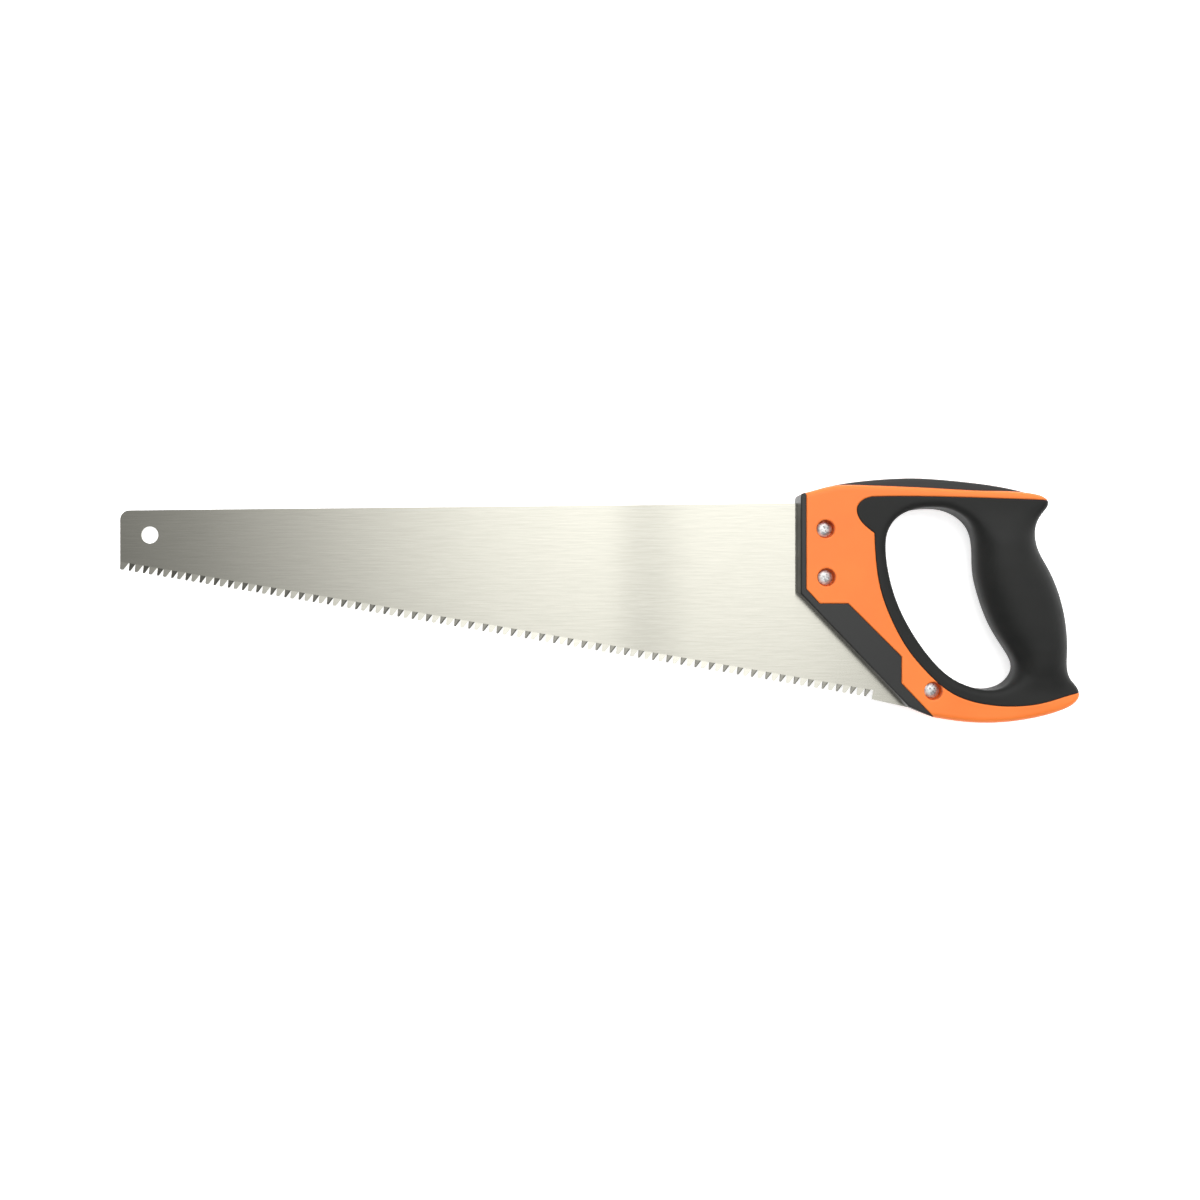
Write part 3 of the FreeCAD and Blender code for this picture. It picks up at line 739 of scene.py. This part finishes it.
# The room's brightness by angle from overhead, in degrees: along the blade, and towards its back.
ROOM_STRENGTH = 2.7
ACROSS = [(-90, 0.12), (-24, 0.15), (-19, 0.26), (-14, 0.47), (-9.5, 0.69), (-5, 0.88), (0.9, 1.0),
          (1.35, 0.77), (2.9, 0.79), (4.3, 0.98), (9.5, 0.97), (13, 0.8), (18, 0.42), (25, 0.33), (90, 0.3)]
ALONG = [(-90, 0.12), (-32, 0.18), (-16, 0.32), (-5, 0.62), (5, 1.0), (50, 1.0), (90, 0.8)]
# The room is at least HORIZON bright below the lower height of HORIZON_FADE, and fades up to the higher one.
HORIZON = 0.42
HORIZON_FADE = (0.5, 0.1)
FILL_STRENGTH = 1.3
FILL_SPREAD = math.radians(60)
FILL_TURN = (math.radians(-28), math.radians(5), 0)


def lights():
    """A soft studio room: bright overhead and behind the saw's back, darker towards the toe and the teeth.

    Its horizon is pale, and a broad fill lamp shows in no reflection.
    """
    world = bpy.data.worlds.new("room")
    world.use_nodes = True
    tree = world.node_tree
    background = tree.nodes["Background"]
    background.inputs["Strength"].default_value = ROOM_STRENGTH

    def add(kind, **settings):
        node = tree.nodes.new(kind)
        for key, value in settings.items():
            setattr(node, key, value)
        return node

    place = add("ShaderNodeTexCoord")
    parts = add("ShaderNodeSeparateXYZ")
    tree.links.new(place.outputs["Generated"], parts.inputs[0])
    both = add("ShaderNodeMix", data_type="RGBA", blend_type="MULTIPLY")
    both.inputs["Factor"].default_value = 1.0
    for axis, stops, into in (("X", ACROSS, 6), ("Y", ALONG, 7)):
        angle = add("ShaderNodeMath", operation="ARCTAN2")
        tree.links.new(parts.outputs[axis], angle.inputs[0])
        tree.links.new(parts.outputs["Z"], angle.inputs[1])
        share = add("ShaderNodeMapRange")
        share.inputs["From Min"].default_value = -math.pi / 2
        share.inputs["From Max"].default_value = math.pi / 2
        tree.links.new(angle.outputs[0], share.inputs["Value"])
        ramp = add("ShaderNodeValToRGB")
        elements = ramp.color_ramp.elements
        while len(elements) < len(stops):
            elements.new(0.5)
        for element, (degrees, level) in zip(elements, stops):
            element.position = degrees / 180 + 0.5
            element.color = (level, level, level, 1)
        tree.links.new(share.outputs["Result"], ramp.inputs["Fac"])
        tree.links.new(ramp.outputs["Color"], both.inputs[into])
    low = add("ShaderNodeMapRange")
    low.inputs["From Min"].default_value, low.inputs["From Max"].default_value = HORIZON_FADE
    low.inputs["To Min"].default_value, low.inputs["To Max"].default_value = 0.0, HORIZON
    tree.links.new(parts.outputs["Z"], low.inputs["Value"])
    brighter = add("ShaderNodeMix", data_type="RGBA", blend_type="LIGHTEN")
    brighter.inputs["Factor"].default_value = 1.0
    tree.links.new(both.outputs[2], brighter.inputs[6])
    tree.links.new(low.outputs["Result"], brighter.inputs[7])
    tree.links.new(brighter.outputs[2], background.inputs["Color"])
    bpy.context.scene.world = world

    lamp = bpy.data.lights.new("fill", "SUN")
    lamp.energy = FILL_STRENGTH
    lamp.angle = FILL_SPREAD
    fill = bpy.data.objects.new("fill", lamp)
    fill.rotation_euler = FILL_TURN
    fill.visible_glossy = False
    bpy.context.scene.collection.objects.link(fill)


def camera():
    """Looks straight down on the saw, with the handle to the right."""
    lens = bpy.data.cameras.new("camera")
    lens.sensor_width = 36.0
    lens.angle = 2 * math.atan(CAMERA_SPAN / 2 / CAMERA_HEIGHT)
    lens.clip_start = 0.01
    made = bpy.data.objects.new("camera", lens)
    made.location = DATUM + np.array([*CAMERA_POINT, CAMERA_HEIGHT]) * MM
    bpy.context.scene.collection.objects.link(made)
    bpy.context.scene.camera = made


def main():
    orange, plate = orange_plastic(), zinc()
    rubber = black_rubber("black_rubber", 0.5, 0.34, 0.42, 0.00001)
    grip_rubber = black_rubber("grip_rubber", 0.3, 0.48, 0.6, 0.00005)
    made = [(core_shell(), "handle_core", "orange_plastic", [orange]),
            (soft_shell(), "grip_overmould", "black_rubber", [grip_rubber]),
            (guard_shell(), "front_guard", "black_rubber", [rubber]),
            (blade(), "blade", "blade_steel", [brushed_steel(), ground_steel()])]
    for piece, node, slot, materials in made:
        dress(piece, *materials)
        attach(piece, "root")
        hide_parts(node)
    dress(frame["nodes"]["top_ridge"], rubber)
    for name, node in frame["nodes"].items():
        if name.startswith(("screw_", "sleeve_nut_")):
            dress(node, plate)
    floor()
    lights()
    camera()
    bpy.context.scene.view_settings.view_transform = "Standard"


main()
